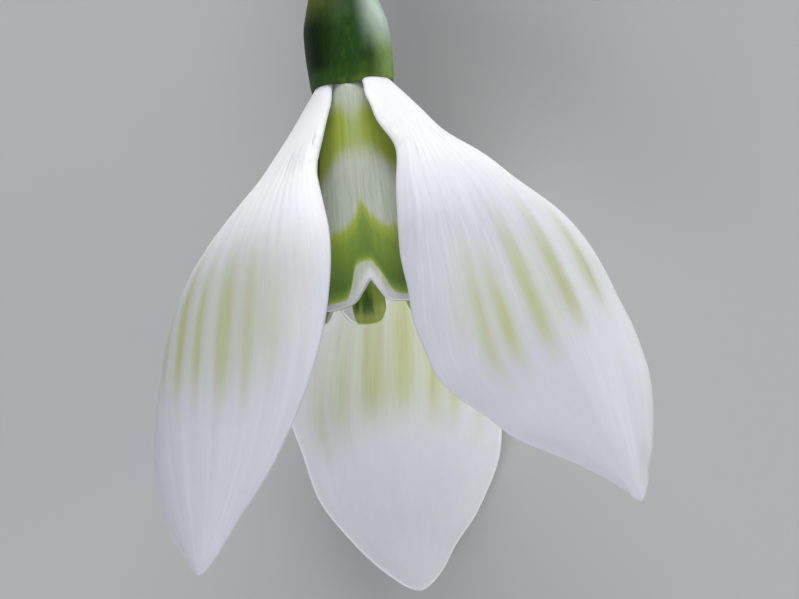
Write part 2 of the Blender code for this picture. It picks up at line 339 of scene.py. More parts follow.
def add_piece(name, mesh, material, nodes):
    """Show a closed mesh as a piece of the flower in place of its frame nodes."""
    old = bpy.data.objects.get(name)
    if old is not None:
        bpy.data.objects.remove(old)
    finish_mesh(mesh)
    piece = add_object(name, mesh)
    piece.data.materials.clear()
    piece.data.materials.append(material)
    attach(piece, BODY)
    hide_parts(*nodes)


# --- outer tepals

def half_width(u, tepal):
    """Half width of an outer tepal: a narrow claw that opens into a blade."""
    base_power, tip_power = tepal.fullness
    widest = base_power / (base_power + tip_power)
    claw = tepal.claw * np.sqrt(1.0 - u) * np.exp(-(u / CLAW_REACH)**2)
    claw = claw * (tepal.claw_top + (1.0 - tepal.claw_top) * smoothstep(0.0, 0.07, u))
    blade = (u / widest)**base_power * ((1.0 - u) / (1.0 - widest))**tip_power
    blunt = tepal.tip * np.sqrt((1.0 - u) / 0.02) * np.exp(-(1.0 - u) / 0.03)
    place, reach, share = tepal.waist
    return (claw + tepal.half_width * blade) * (1.0 - share * bump(u, place, reach)) + blunt


def margin_shift(u, v, tepal):
    """How far the margins' bulges and hollows move each point sideways, in millimetres."""
    shift = np.zeros((len(u), len(v)))
    for side, centre, reach, distance in tepal.bulges:
        near_side = np.clip(side * v, 0.0, 1.0)**1.6
        shift += side * distance * bump(u, centre, reach)[:, None] * near_side
    return shift * np.clip(half_width(u, tepal) / BULGE_WIDTH, 0.0, 1.0)[:, None]


def midrib_points(u, tepal):
    """The midrib's points, and its outward and sideways directions, in the hanging flower."""
    turn = math.radians(tepal.turn)
    outwards = hanging(0.0, 1.0, turn)
    sideways = hanging(0.0, 1.0, turn + math.pi / 2)
    w = 1.0 - u
    shares = (w**3, 3 * w * w * u, 3 * w * u * u, u**3)
    points = sum(hanging(down, out, turn) * share for (down, out), share in zip(tepal.midrib, shares))
    bow, hook = tepal.drift
    points = points + sideways * (bow * u**2 + hook * u**3)
    return points + hanging(SEAT_GAP / MM / 2, 0.0, 0.0), outwards, sideways


def cross_sections(v, edge_turn, flatness):
    """Offsets across and inwards of sections one unit wide, a row for each edge_turn."""
    fine = np.linspace(-1.0, 1.0, 401)
    bend = (1.0 - flatness) * fine + flatness * fine**3
    angle = edge_turn[:, None] * bend
    across = np.empty((len(edge_turn), len(v)))
    inwards = np.empty_like(across)
    for row in range(len(edge_turn)):
        for target, values in ((across, np.cos(angle[row])), (inwards, np.sin(angle[row]))):
            steps = (values[1:] + values[:-1]) / 2 * np.diff(fine)
            total = np.concatenate([[0.0], np.cumsum(steps)])
            target[row] = np.interp(v, fine, total - total[len(fine) // 2])
    return across, inwards


def outer_tepal_middle(tepal, u, v):
    """Grid of points of an outer tepal's middle surface, and outward directions."""
    column = u[:, None]
    points, outwards, sideways = midrib_points(column, tepal)
    along = unit(np.gradient(points, u, axis=0))
    back = unit(outwards - dot(along, outwards) * along)
    right = np.cross(back, along)
    right = right * np.sign(dot(right, sideways))
    twist = math.radians(tepal.twist) * smoothstep(0.0, TWIST_REACH, column)
    turned_right = right * np.cos(twist) + back * np.sin(twist)
    turned_back = back * np.cos(twist) - right * np.sin(twist)
    claw_share = np.exp(-(u / 0.2)**2)
    edge_turn = np.radians(tepal.cup + (tepal.claw_cup - tepal.cup) * claw_share)
    across, inwards = cross_sections(v, edge_turn, tepal.flatness)
    uneven = 1.0 + tepal.lopsided * np.sign(v) * (1.0 - np.exp(-(v / 0.4)**2))
    width = half_width(u, tepal)[:, None] * uneven
    sideways_reach = across * width + margin_shift(u, v, tepal)
    middle = points[:, None] + turned_right[:, None] * sideways_reach[..., None]
    middle = middle - turned_back[:, None] * (inwards * width)[..., None]
    return middle, np.broadcast_to(turned_back[:, None], middle.shape)


def vein_place(u, v, tepal):
    """Place across the tepal that stays the same along a vein."""
    return v - tepal.vein_slant * np.clip(u - STRIPE_LEVEL, -0.3, 0.3)


def rolled_margin(u, v, tepal):
    """Share of the thick bumpy roll along part of one margin, from 0 to about 1."""
    side, start, end, _ = tepal.rolled
    bumps = 0.7 + 0.6 * soft_noise(u * 140.0, v * 14.0, tepal.seed + 90)
    roll = bump(side * v, 0.88, 0.2) * bumps - 0.15 * bump(side * v, 0.5, 0.2)
    return roll * window(u, start - 0.03, start + 0.04, end - 0.06, end + 0.02)


def outer_relief(u, v, tepal, settings):
    """How far the outer face stands out, in millimetres: veins, soft swellings and the margin."""
    place = vein_place(u, v, tepal)
    seed = tepal.seed
    veins = np.cos(math.pi * MAIN_VEINS * place + 1.6 * soft_noise(place * 3, u * 3, seed))
    fine = soft_noise(place * 26.0, u * 5.0, seed + 20)
    reach = smoothstep(0.09, 0.27, u) * (1.0 - 0.75 * smoothstep(0.36, 0.7, u))
    relief = settings.vein_relief / MM * reach * (0.45 * veins + 0.9 * fine) * (1.0 - np.abs(v)**6)
    swell = 0.13 * soft_noise(v * 2.2, u * 5.0, seed + 40, 2) * smoothstep(0.1, 0.4, u)
    ripple = settings.margin_ripple / MM * soft_noise(u * 16.0, np.sign(v) * 3.0, seed + 60)
    total = relief + swell + ripple * np.abs(v)**5 * smoothstep(0.08, 0.3, u)
    total = total * smoothstep(0.0, 2.6, half_width(u, tepal)) * (1.0 - smoothstep(0.93, 1.0, u))
    across, half_reach, start, height = tepal.keel
    keel = height * bump(v, across, half_reach) * window(u, start, 0.85, 0.9, 1.0)
    return total + keel + tepal.rolled[3] * rolled_margin(u, v, tepal)


def stripe_strength(u, v, tepal):
    """Strength of the yellow-green stripes from 0 to 1."""
    place = vein_place(u, v, tepal)
    total = np.zeros(place.shape)
    for number, (centre, strength, start, end, width) in enumerate(tepal.stripes):
        wobble = 0.02 * soft_noise(u * 9.0, np.full_like(u, number * 2.7), tepal.seed + 80)
        stripe = strength * bump(place + wobble, centre, width * 1.3)
        stripe = stripe * window(u, start - 0.01, start + 0.22, end - 0.08, end + 0.03)
        total = total + stripe - total * stripe
    return total


def stripe_wash(u, v, tepal):
    """Faint green between the stripes."""
    start = min(stripe[2] for stripe in tepal.stripes)
    end = max(stripe[3] for stripe in tepal.stripes)
    reach = window(u, start - 0.04, start + 0.22, end - 0.14, end + 0.03)
    return tepal.wash * reach * (1.0 - np.abs(v)**4)


def rest_on_surface(points, clearance):
    """Press points of the hanging flower flat where they would reach below the surface."""
    world = to_world(points)
    world[..., 2] = np.maximum(world[..., 2], clearance)
    return to_hanging(world)


def build_outer_tepal(side, tepal, settings, material):
    """The rows of points crowd towards the tip and the columns towards the margins."""
    rows = 1.0 - (1.0 - np.linspace(0.0, 1.0, OUTER_ROWS + 1))**1.25
    columns = np.linspace(-1.0, 1.0, OUTER_COLUMNS + 1)
    columns = np.sign(columns) * (1.0 - (1.0 - np.abs(columns))**1.15)
    middle, outwards = outer_tepal_middle(tepal, rows, columns)
    u, v = np.meshgrid(rows, columns, indexing="ij")
    relief = outer_relief(u, v, tepal, settings)[..., None]
    middle = middle + sheet_normals(middle, outwards) * relief
    middle = rest_on_surface(middle, settings.thickness / 2)
    thickness = settings.thickness / MM * (1.0 - 0.45 * np.abs(v)**6)
    thickness *= 1.0 - 0.3 * smoothstep(0.7, 1.0, u)
    thickness *= np.sqrt(np.clip((1.0 - u) / 0.012, 0.02, 1.0))
    thickness += tepal.rolled[3] * np.maximum(0.0, rolled_margin(u, v, tepal))
    # Painted shade: a grey-lavender over the lower blade, stronger on one side, set tepal by tepal to the
    # light
    strength, one_side, start, end = tepal.thin
    fields = {
        "along": u, "vein": vein_place(u, v, tepal), "stripe": stripe_strength(u, v, tepal),
        "wash": stripe_wash(u, v, tepal),
        "thin": strength * (1.0 + one_side * v) * smoothstep(start, end, u),
    }
    name = f"petal_outer_{side}"
    normals = sheet_normals(middle, outwards)
    mesh = closed_petal(name, middle, normals, thickness, fields, tip=True)
    add_piece(name, mesh, material, [f"outer_tepal_{side}"])


# --- inner tepals

def cup_radius(down):
    """Radius of the cup of inner tepals, in millimetres, at a distance down its axis."""
    swell = 1.0 - np.exp(-down / CUP_SWELL_LENGTH)
    return CUP_BASE_RADIUS + CUP_SWELL * swell + CUP_FLARE * down


def inner_end(degrees, corner):
    """Where an inner tepal ends: two lobes with a notch between them and round corners."""
    width = np.where(degrees < 0, 10.5, 8.0)
    notch = 1.3 * np.exp(-(np.abs(degrees) / width)**1.5)
    rounding = CORNER_CUT * (1.0 - np.exp(-2.7 / CORNER_CUT * (np.abs(degrees) / corner)**12))
    return INNER_LENGTH - notch - rounding


def mark_level(down, degrees):
    """Depth inside the green mark round the notch from its top and from its bottom, in mm."""
    top = 8.3 - 1.5 * np.exp(-(np.abs(degrees + 1.0) / 10.0)**1.5)
    steepness = np.where(degrees < -2.0, 5.0, 3.0)
    bottom = 12.05 - 1.95 * np.exp(-(np.abs(degrees + 2.0) / 15.0)**steepness)
    return down - top, bottom - down


def base_band(down, degrees):
    """Strength of the green band at an inner tepal's base, from 0 to 1."""
    top = 1.5 + 0.5 * bump(degrees, 0.0, 12.0)
    bottom = 4.3 + 1.6 * smoothstep(12.0, 55.0, np.abs(degrees))
    lobes = 0.74 + 0.26 * smoothstep(2.0, 16.0, np.abs(degrees + 1.0))
    return window(down, top - 0.6, top + 1.0, bottom - 0.9, bottom + 0.6) * lobes


def build_inner_tepal(place, settings, material):
    turn, angles, corners, seed = INNER_TEPALS[place]
    share, v = np.meshgrid(
        np.linspace(0.0, 1.0, INNER_ROWS + 1), np.linspace(-1.0, 1.0, INNER_COLUMNS + 1), indexing="ij")
    half_angle = np.where(v < 0, *angles)
    degrees = half_angle * v
    end = inner_end(degrees, np.where(v < 0, *corners))
    down = INNER_START + (end - INNER_START) * share
    top_fade = smoothstep(0.5, 3.0, down)
    overlap = 0.16 * np.sign(v) * smoothstep(0.35, 1.0, np.abs(v)) * top_fade
    ribs = 0.4 * np.cos(math.pi * INNER_RIBS * v + 1.6 * soft_noise(v * 3, share * 3, seed))
    ribs += soft_noise(v * 26.0, share * 2.5, seed + 20)
    relief = settings.rib_relief / MM * ribs * top_fade * (1.0 - np.abs(v)**8)
    lip = 0.22 * smoothstep(11.2, 12.2, down + 0.9 * bump(degrees, 0.0, 12.0))
    shoulder = 0.62 * bump(degrees, -5.0, 23.0) * np.exp(-(down / 1.7)**2)
    radius = cup_radius(down) + overlap + relief + lip + shoulder
    angle = math.radians(turn) + np.radians(degrees)
    middle = hanging(down, radius, angle)
    normals = sheet_normals(middle, hanging(0.0, 1.0, angle))
    thickness = settings.thickness / MM * (1.0 - 0.35 * np.abs(v)**8)
    from_top, from_bottom = mark_level(down, degrees)
    fields = {
        "along": down, "across": degrees / STREAK_ANGLE, "mark_top": from_top, "mark_bottom": from_bottom,
        "band": base_band(down, degrees),
        "rim": np.minimum(end - down, (1.0 - np.abs(v)) * np.radians(half_angle) * radius),
    }
    name = f"petal_inner_{place}"
    mesh = closed_petal(name, middle, normals, thickness, fields, tip=False)
    add_piece(name, mesh, material, [f"inner_tepal_{place}"])


# --- ovary, stalk, stamens, style

HANGING = FLOWER @ Matrix.Scale(MM, 4)  # takes meshes of the hanging flower, in mm, to their place
UPSIDE_DOWN = Matrix.Rotation(math.pi, 4, "X")


def smooth_profile(points, steps):
    """Catmull-Rom curve through (height, radius) points."""
    padded = [points[0], *points, points[-1]]
    curve = []
    for index in range(1, len(padded) - 2):
        before, start, end, after = (np.array(padded[index + offset]) for offset in (-1, 0, 1, 2))
        for t in np.arange(steps) / steps:
            curve.append(0.5 * (2 * start + (end - before) * t
                                + (2 * before - 5 * start + 4 * end - after) * t**2
                                + (3 * start - before - 3 * end + after) * t**3))
    return [*curve, points[-1]]


def turned_mesh(name, outline, segments, shape=None):
    """Solid turned about Z from (height, radius) points, closed at both ends on the axis."""
    heights, radii = np.array(outline).T
    angles = np.linspace(0.0, math.tau, segments, endpoint=False)
    height, angle = np.meshgrid(heights, angles, indexing="ij")
    radius = np.repeat(radii[:, None], segments, axis=1)
    if shape is not None:
        radius, height = shape(radius, height, angle)
    rings = np.stack([radius * np.cos(angle), radius * np.sin(angle), height], axis=-1)
    start, end = ([[0.0, 0.0, heights[place]]] for place in (0, -1))
    points = np.concatenate([start, rings.reshape(-1, 3), end])
    last = len(points) - 1
    faces = ring_faces(1, segments, len(heights))
    faces += fan_faces(1, segments, 0) + fan_faces(last - segments, segments, last)
    right = points[:, 0] / np.maximum(np.hypot(points[:, 0], points[:, 1]), 1e-6)
    return make_mesh(name, points, faces, {"level": points[:, 2], "right": right})


def ovary_shape(radius, height, angle):
    """Three faint lobes, small waves and a rim that dips between the claws, lower on one side."""
    lobes = 1.0 + 0.012 * np.cos(3.0 * angle + 0.6)
    waves = 1.0 + 0.006 * soft_noise(angle * 4.0, height * 0.8, 5)
    slant = 0.04 * radius * np.cos(angle) * (1.0 - smoothstep(0.0, 1.6, height))
    between = np.zeros_like(angle)
    for gap in RIM_DIPS:
        away = np.mod(np.degrees(angle) - gap + 180.0, 360.0) - 180.0
        between += bump(away, 0.0, 24.0)
    dip = 0.26 * between * (1.0 - smoothstep(-0.35, 0.9, height)) * smoothstep(1.7, 1.95, radius)
    return radius * lobes * waves, height + slant - dip


def build_ovary(material):
    outline = [*OVARY_UNDERSIDE, *smooth_profile(OVARY_SIDE, steps=8)]
    mesh = turned_mesh("ovary_body", outline, segments=120, shape=ovary_shape)
    mesh.transform(HANGING)
    add_piece("ovary_body", mesh, material, ["ovary"])


def stalk_arc():
    """Points of the stalk's bend, from the ovary's top to the middle of its cut end."""
    points = to_hanging(node_points("pedicel"))
    start = np.array([0.0, 0.0, points[:, 2].min() - SEAT_GAP / MM])
    farthest = np.argsort(-np.linalg.norm(points - start, axis=1))[:8]
    cut_end = points[farthest].mean(axis=0)
    chord = cut_end - start
    angle = math.atan2(chord[1], chord[2])
    radius = np.linalg.norm(chord) / (2.0 * math.sin(angle))
    sweep = np.linspace(0.0, 2.0 * angle, STALK_POINTS)
    bend = [0.0 * sweep, radius * (1.0 - np.cos(sweep)), start[2] + radius * np.sin(sweep)]
    return to_world(np.stack(bend, axis=-1))


def build_stalk(settings, material):
    """The stalk follows its arc from the ovary's top to the surface, a touch thicker at the ovary."""
    arc = stalk_arc()
    curve = bpy.data.curves.new("stalk_path", "CURVE")
    curve.dimensions = "3D"
    spline = curve.splines.new("POLY")
    spline.points.add(len(arc) - 1)
    for point, place in zip(spline.points, arc):
        point.co = (*place, 1.0)
    path = add_object("stalk_path", curve)
    tree = GeometryTree("Stalk along a path", {
        "Radius": settings.radius, "Swell at Ovary": settings.swell})
    along = Value(tree, tree.node("GeometryNodeSplineParameter").outputs["Factor"])
    swell = tree.given("Swell at Ovary") * (1.0 - along)**6.0
    profile = tree.node("GeometryNodeCurvePrimitiveCircle", {"Resolution": 28, "Radius": 1.0})
    tube = tree.node("GeometryNodeCurveToMesh", {
        "Curve": tree.given("Geometry"), "Profile Curve": profile.outputs["Curve"],
        "Fill Caps": True, "Scale": tree.given("Radius") * (1.0 + swell)})
    mesh = tree.make_mesh(path, "stalk", tube.outputs["Mesh"], material)
    add_piece("stalk", mesh, material, ["pedicel"])


def build_ring(name, slot, part_mesh, count, radius, drop, lean, material):
    """A ring of like parts as one piece. A part points along +Z, and the ring hangs mouth down."""
    part = add_object(name + "_part", part_mesh)
    carrier = add_object(name + "_ring", bpy.data.meshes.new(name + "_ring"))
    tree = GeometryTree(name + " ring", {
        "Count": count, "Foot Radius": radius, "Foot Drop": drop, "Lean": math.radians(lean)})
    ring = tree.node("GeometryNodeMeshCircle", {
        "Vertices": tree.given("Count"), "Radius": tree.given("Foot Radius")})
    number = Value(tree, tree.node("GeometryNodeInputIndex").outputs[0])
    turn = tree.vector(0.0, tree.given("Lean"), number * (math.tau / tree.given("Count")))
    source = tree.node("GeometryNodeObjectInfo", {"Object": part})
    copies = tree.node("GeometryNodeInstanceOnPoints", {
        "Points": ring.outputs["Mesh"], "Instance": source.outputs["Geometry"], "Rotation": turn})
    moved = tree.node("GeometryNodeTransform", {
        "Geometry": copies.outputs[0], "Translation": tree.vector(0.0, 0.0, tree.given("Foot Drop"))})
    mesh = tree.make_mesh(carrier, name, moved.outputs[0], material)
    bpy.data.objects.remove(part)
    mesh.transform(HANGING @ Matrix.Rotation(math.pi / count, 4, "Z") @ UPSIDE_DOWN)
    nodes = [f"{slot}_{number}" for number in range(1, STAMEN_COUNT + 1)]
    add_piece(name, mesh, material, nodes)


def anther_part():
    """One anther: two long sacs side by side that close to a fine point."""
    def sacs(radius, height, angle):
        furrow = 1.0 - 0.2 * bump(np.cos(angle), 1.0, 0.25) - 0.14 * bump(np.cos(angle), -1.0, 0.2)
        return radius * furrow * (1.0 + 0.05 * np.cos(2.0 * angle)), height

    outline = ((0.0, 0.16), (0.3, 0.33), (1.5, 0.4), (3.2, 0.34), (4.7, 0.2), (5.5, 0.07), (5.8, 0.03))
    return turned_mesh("anther_part", smooth_profile(outline, steps=6), segments=36, shape=sacs)


def filament_part():
    outline = ((0.0, 0.17), (0.8, 0.14), (1.7, 0.1), (2.15, 0.06))
    return turned_mesh("filament_part", smooth_profile(outline, steps=5), segments=16)


def build_style(material):
    outline = ((0.0, 0.2), (1.0, 0.15), (6.0, 0.13), (8.6, 0.15), (9.3, 0.13), (9.5, 0.05))
    mesh = turned_mesh("style_rod", smooth_profile(outline, steps=8), segments=24)
    mesh.transform(HANGING @ UPSIDE_DOWN)
    add_piece("style_rod", mesh, material, ["style"])


# --- node trees

class Value:
    """A number socket of a node tree, with the arithmetic written as Python."""

    def __init__(self, tree, socket):
        self.tree = tree
        self.socket = socket

    def __add__(self, other):
        return self.tree.maths("ADD", self, other)

    def __sub__(self, other):
        return self.tree.maths("SUBTRACT", self, other)

    def __rsub__(self, other):
        return self.tree.maths("SUBTRACT", other, self)

    def __mul__(self, other):
        return self.tree.maths("MULTIPLY", self, other)

    def __rtruediv__(self, other):
        return self.tree.maths("DIVIDE", other, self)

    def __pow__(self, other):
        return self.tree.maths("POWER", self, other)

    __radd__ = __add__
    __rmul__ = __mul__

    def step(self, low, high):
        """Smooth step from 0 at low to 1 at high."""
        node = self.tree.node("ShaderNodeMapRange", {
            "Value": self, "From Min": low, "From Max": high}, interpolation_type="SMOOTHSTEP")
        return Value(self.tree, node.outputs["Result"])


class NodeTree:
    """A tree of nodes, with short ways to add one and feed its sockets."""

    def __init__(self, tree):
        self.tree = tree

    def node(self, kind, values=None, **settings):
        node = self.tree.nodes.new(kind)
        for key, value in settings.items():
            setattr(node, key, value)
        for key, value in (values or {}).items():
            self.feed(node.inputs[key], value)
        return node

    def feed(self, socket, value):
        if isinstance(value, Value):
            value = value.socket
        if isinstance(value, bpy.types.NodeSocket):
            self.tree.links.new(value, socket)
        elif socket.type == "RGBA":
            socket.default_value = (*value, 1.0)
        else:
            socket.default_value = value

    def maths(self, operation, a, b):
        return Value(self, self.node("ShaderNodeMath", {0: a, 1: b}, operation=operation).outputs[0])

    def vector(self, x, y, z):
        return self.node("ShaderNodeCombineXYZ", {0: x, 1: y, 2: z}).outputs[0]


class GeometryTree(NodeTree):
    """Geometry Nodes with named inputs, given with their defaults."""

    def __init__(self, name, inputs):
        super().__init__(bpy.data.node_groups.new(name, "GeometryNodeTree"))
        new_socket = self.tree.interface.new_socket
        new_socket("Geometry", in_out="INPUT", socket_type="NodeSocketGeometry")
        for title, default in inputs.items():
            kind = "NodeSocketInt" if isinstance(default, int) else "NodeSocketFloat"
            new_socket(title, in_out="INPUT", socket_type=kind).default_value = default
        new_socket("Geometry", in_out="OUTPUT", socket_type="NodeSocketGeometry")
        self.inputs = self.node("NodeGroupInput").outputs

    def given(self, name):
        return Value(self, self.inputs[name])

    def make_mesh(self, source, name, socket, material):
        """End the tree, take what it makes of a source object as a mesh, and drop the source."""
        real = self.node("GeometryNodeRealizeInstances", {"Geometry": socket})
        painted = self.node("GeometryNodeSetMaterial", {
            "Geometry": real.outputs[0], "Material": material})
        self.node("NodeGroupOutput", {0: painted.outputs[0]})
        modifier = source.modifiers.new(name, "NODES")
        modifier.node_group = self.tree
        graph = bpy.context.evaluated_depsgraph_get()
        mesh = bpy.data.meshes.new_from_object(source.evaluated_get(graph))
        mesh.name = name
        source.modifiers.remove(modifier)
        bpy.data.objects.remove(source)
        return mesh


class Shader(NodeTree):
    """A material's node tree."""

    def __init__(self, name):
        self.material = bpy.data.materials.new(name)
        self.material.use_nodes = True
        super().__init__(self.material.node_tree)
        self.tree.nodes.clear()

    def attributes(self, *names):
        nodes = [self.node("ShaderNodeAttribute", attribute_name=name) for name in names]
        return [Value(self, node.outputs["Fac"]) for node in nodes]

    def place(self, x=1.0, y=1.0, z=1.0):
        """Object coordinates in millimetres, stretched along each axis."""
        coordinates = self.node("ShaderNodeTexCoord").outputs["Object"]
        stretch = (x / MM, y / MM, z / MM)
        scaled = self.node("ShaderNodeVectorMath", {0: coordinates, 1: stretch}, operation="MULTIPLY")
        return scaled.outputs[0]

    def noise(self, vector, scale=1.0, detail=3.0, roughness=0.6):
        """Noise at a vector socket, or at three numbers."""
        if isinstance(vector, tuple):
            vector = self.vector(*vector)
        node = self.node("ShaderNodeTexNoise", {
            "Vector": vector, "Scale": scale, "Detail": detail, "Roughness": roughness})
        return Value(self, node.outputs[0])

    def mix(self, factor, a, b):
        """Mix two colours; factor 0 gives a."""
        return self.node("ShaderNodeMix", {0: factor, 6: a, 7: b}, data_type="RGBA").outputs[2]

    def layers(self, colour, *layers):
        """Lay colours over a colour, each as (factor, colour)."""
        for factor, over in layers:
            colour = self.mix(factor, colour, over)
        return colour

    def finish(self, colour, roughness, height=None, depth=0.0, **constants):
        """End in a Principled shader. Constants are set on its own sockets."""
        shader = self.node("ShaderNodeBsdfPrincipled", {"Base Color": colour, "Roughness": roughness})
        for key, value in constants.items():
            shader.inputs[key.replace("_", " ")].default_value = value
        if height is not None:
            relief = self.node("ShaderNodeBump", {"Height": height, "Distance": depth, "Strength": 1.0})
            self.feed(shader.inputs["Normal"], relief.outputs[0])
        self.node("ShaderNodeOutputMaterial", {"Surface": shader.outputs[0]})
        return self.material

    def finish_petal(self, colour, roughness, height, settings):
        return self.finish(
            colour, roughness, height, settings.cell_depth,
            Subsurface_Weight=settings.translucency, Subsurface_Radius=(1.0, 0.95, 0.85),
            Subsurface_Scale=settings.light_reach, Specular_IOR_Level=0.35)


# --- materials

def outer_tepal_material(settings):
    """White petal tissue: faint veins that fan from the claw, soft yellow-green stripes, and painted
    shade that greys the lower blade.
    """
    shader = Shader("outer petal tissue")
    along, vein, thin, stripe, wash = shader.attributes("along", "vein", "thin", "stripe", "wash")
    fibres = shader.noise((vein * 34.0, along * 7.0, 0.0))
    streaks = shader.noise((vein * 13.0, along * 4.0, 3.0), 1.0, 2.0, 0.5)
    cells = shader.noise((vein * 150.0, along * 60.0, 7.0), 1.0, 2.0)
    blotches = shader.noise(shader.place(), 0.35, 3.0, 0.55)
    crystals = shader.noise(shader.place(), 9.0, 2.0, 0.7)
    lines = fibres.step(0.45, 0.8) * (0.34 - 0.26 * along.step(0.45, 0.8))
    # Painted shade: the greyer colour is laid where the blade is turned from the light
    white = shader.layers(
        settings.white, (blotches.step(0.3, 0.7), settings.cool_white),
        (thin * (0.80 + 0.36 * streaks), settings.painted_shade_colour), (lines, settings.vein_colour))
    # Painted light: the stripes are paler where no shade is painted
    green = shader.layers(
        settings.stripe_colour, (streaks.step(0.3, 0.7), settings.stripe_olive),
        (1.0 - thin.step(0.1, 0.6), settings.lit_stripe_colour))
    strength = stripe * (0.4 + 0.5 * streaks + 0.6 * fibres) + wash * (0.6 + 0.8 * fibres)
    colour = shader.mix(strength * settings.stripe_strength, white, green)
    height = fibres * 0.5 + cells * 0.35 + crystals * 0.3
    return shader.finish_petal(colour, 0.42 + 0.18 * fibres, height, settings)


def inner_tepal_material(settings):
    """White with a green band at the base, and a sharp green mark round the notch. The inner face's white
    is lighter than the outer face's: painted light against its shade.
    """
    shader = Shader("inner petal tissue")
    along, across, inside, rim = shader.attributes("along", "across", "inside", "rim")
    band, mark_top, mark_bottom = shader.attributes("band", "mark_top", "mark_bottom")
    fibres = shader.noise((across * 24.0, along * 0.5, 0.0))
    streaks = shader.noise((across * 9.0, along * 0.35, 5.0), 1.0, 2.0, 0.5)
    cells = shader.noise((across * 120.0, along * 6.0, 7.0), 1.0, 2.0)
    ragged = (fibres - 0.5) * 0.5 + (streaks - 0.5) * 0.4
    from_top = mark_top + ragged * 1.25
    from_bottom = mark_bottom + ragged * 0.25
    fringe = from_top.step(-0.3, 0.35) * from_bottom.step(-0.03, 0.10)
    body = from_top.step(0.1, 1.15) * from_bottom.step(0.05, 0.28)
    deep = from_top.step(0.9, 3.0) * from_bottom.step(0.15, 0.7)
    white = shader.mix(fibres.step(0.38, 0.7) * 0.7, settings.white, settings.line_colour)
    outer_face = shader.layers(
        shader.mix(rim.step(0.25, 0.75), settings.margin_colour, white),
        (band * (0.78 + 0.5 * streaks), settings.band_colour), (fringe, settings.fringe_colour),
        (body, settings.mark_colour),
        (deep * (0.3 + 1.1 * fibres), settings.mark_deep),
        (body * fibres.step(0.5, 0.75) * 0.4, settings.fringe_colour))
    inner_green = shader.layers(
        settings.mark_colour, ((streaks + 0.35 * fibres).step(0.52, 0.74), settings.inner_deep),
        ((1.0 - rim.step(0.2, 0.85)) * (0.35 + 0.9 * fibres), settings.inner_edge))
    stained = along.step(4.0, 7.0) * mark_bottom.step(-0.55, -0.28)
    # Painted light: the inner face's white is lighter than the outer face's, against the shade inside the
    # cup
    inner_face = shader.mix(stained, settings.inner_lit_white, inner_green)
    colour = shader.mix(inside.step(0.3, 0.7), outer_face, inner_face)
    height = fibres * 0.6 + cells * 0.35
    return shader.finish_petal(colour, 0.4 + 0.2 * fibres, height, settings)


def ovary_material(settings):
    """Dark glossy green with a faint wax and olive at the rim, lighter towards it. Painted shade darkens
    one side; painted light and a painted highlight lighten the other.
    """
    shader = Shader("ovary skin")
    clouds = shader.noise(shader.place(1.0, 0.3, 1.0), 1.3, 4.0)
    patches = shader.noise(shader.place(1.0, 0.3, 1.0), 3.4)
    specks = shader.noise(shader.place(), 9.0)
    level, right = shader.attributes("level", "right")
    # Lighter green at the base: the real rim colour, with painted light that makes it stronger on the lit
    # side
    low = (1.0 - level.step(-0.2, 1.1)) * (0.12 + 0.4 * right.step(-0.1, 0.7))
    # Olive at the rim, faded out on the side away from the lights, which is kept dark as painted shade
    rim = (0.8 - 0.8 * level.step(-0.32, 0.0)) * patches.step(0.3, 0.6) * right.step(-0.7, 0.3)
    # Painted shade: the darkest green on the side away from the lights
    shade = (1.0 - right.step(-0.75, 0.0)) * level.step(0.0, 0.8) * (0.55 + 0.6 * clouds)
    # Painted light: fresh green low on the lit side
    lit_side = right.step(0.5, 0.95) * (1.0 - level.step(1.6, 3.2)) * (0.35 + 0.8 * patches)
    tan = level.step(2.6, 4.6) * (1.0 - right.step(-0.7, 0.15)) * (0.3 + 0.6 * patches)
    # Painted highlight: a pale sheen on the side that faces the side light
    painted_sheen = right.step(0.22, 0.9) * level.step(0.8, 3.0) * (0.45 + 0.85 * clouds)
    colour = shader.layers(
        settings.green, (clouds.step(0.3, 0.7), settings.blue_green),
        (patches.step(0.45, 0.8) * 0.45, settings.yellow_green), (low, settings.yellow_green),
        (rim, settings.rim_colour), (shade, settings.shaded_side_green), (lit_side, settings.lit_side_colour),
        (tan, settings.rim_colour), (painted_sheen, settings.painted_sheen_colour))
    height = clouds * 0.5 + specks * 0.35
    return shader.finish(colour, 0.36 + 0.16 * specks, height, 0.02 * MM, Specular_IOR_Level=0.1)


def plain_tissue(name, colour, second, roughness, scale):
    """Small soft parts: two close colours and a fine grain."""
    shader = Shader(name)
    clouds = shader.noise(shader.place(), scale)
    grain = shader.noise(shader.place(), scale * 9.0, 2.0)
    return shader.finish(
        shader.mix(clouds.step(0.3, 0.7), colour, second), roughness + 0.15 * grain, grain, 0.03 * MM,
        Subsurface_Weight=0.3, Subsurface_Radius=(1.0, 0.8, 0.5), Subsurface_Scale=0.4 * MM)


def stalk_material(settings):
    """Green with pale lengthways streaks, as dark as the ovary where it meets it."""
    shader = Shader("stalk skin")
    streaks = shader.noise(shader.place(1.0, 0.12, 0.35), 4.0)
    grain = shader.noise(shader.place(1.0, 0.12, 0.35), 16.0, 2.0)
    far = Value(shader, shader.node("ShaderNodeSeparateXYZ", {0: shader.place()}).outputs["Y"])
    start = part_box("pedicel")[0][1] / MM
    colour = shader.layers(
        settings.green, (streaks.step(0.35, 0.7), settings.pale_green),
        (1.0 - far.step(start, start + 3.5), settings.near_ovary))
    return shader.finish(colour, 0.42 + 0.15 * grain, grain, 0.02 * MM, Specular_IOR_Level=0.3)


# --- settings

def colour(name, description, default):
    return FloatVectorProperty(name=name, description=description, subtype="COLOR", size=3,
                               min=0.0, max=1.0, default=default)


def number(name, description, default, **limits):
    return FloatProperty(name=name, description=description, default=default, **limits)


def length(name, description, default):
    return number(name, description, default, subtype="DISTANCE", unit="LENGTH", precision=5, min=0.0)


def share(name, description, default):
    return number(name, description, default, min=0.0, max=1.0)


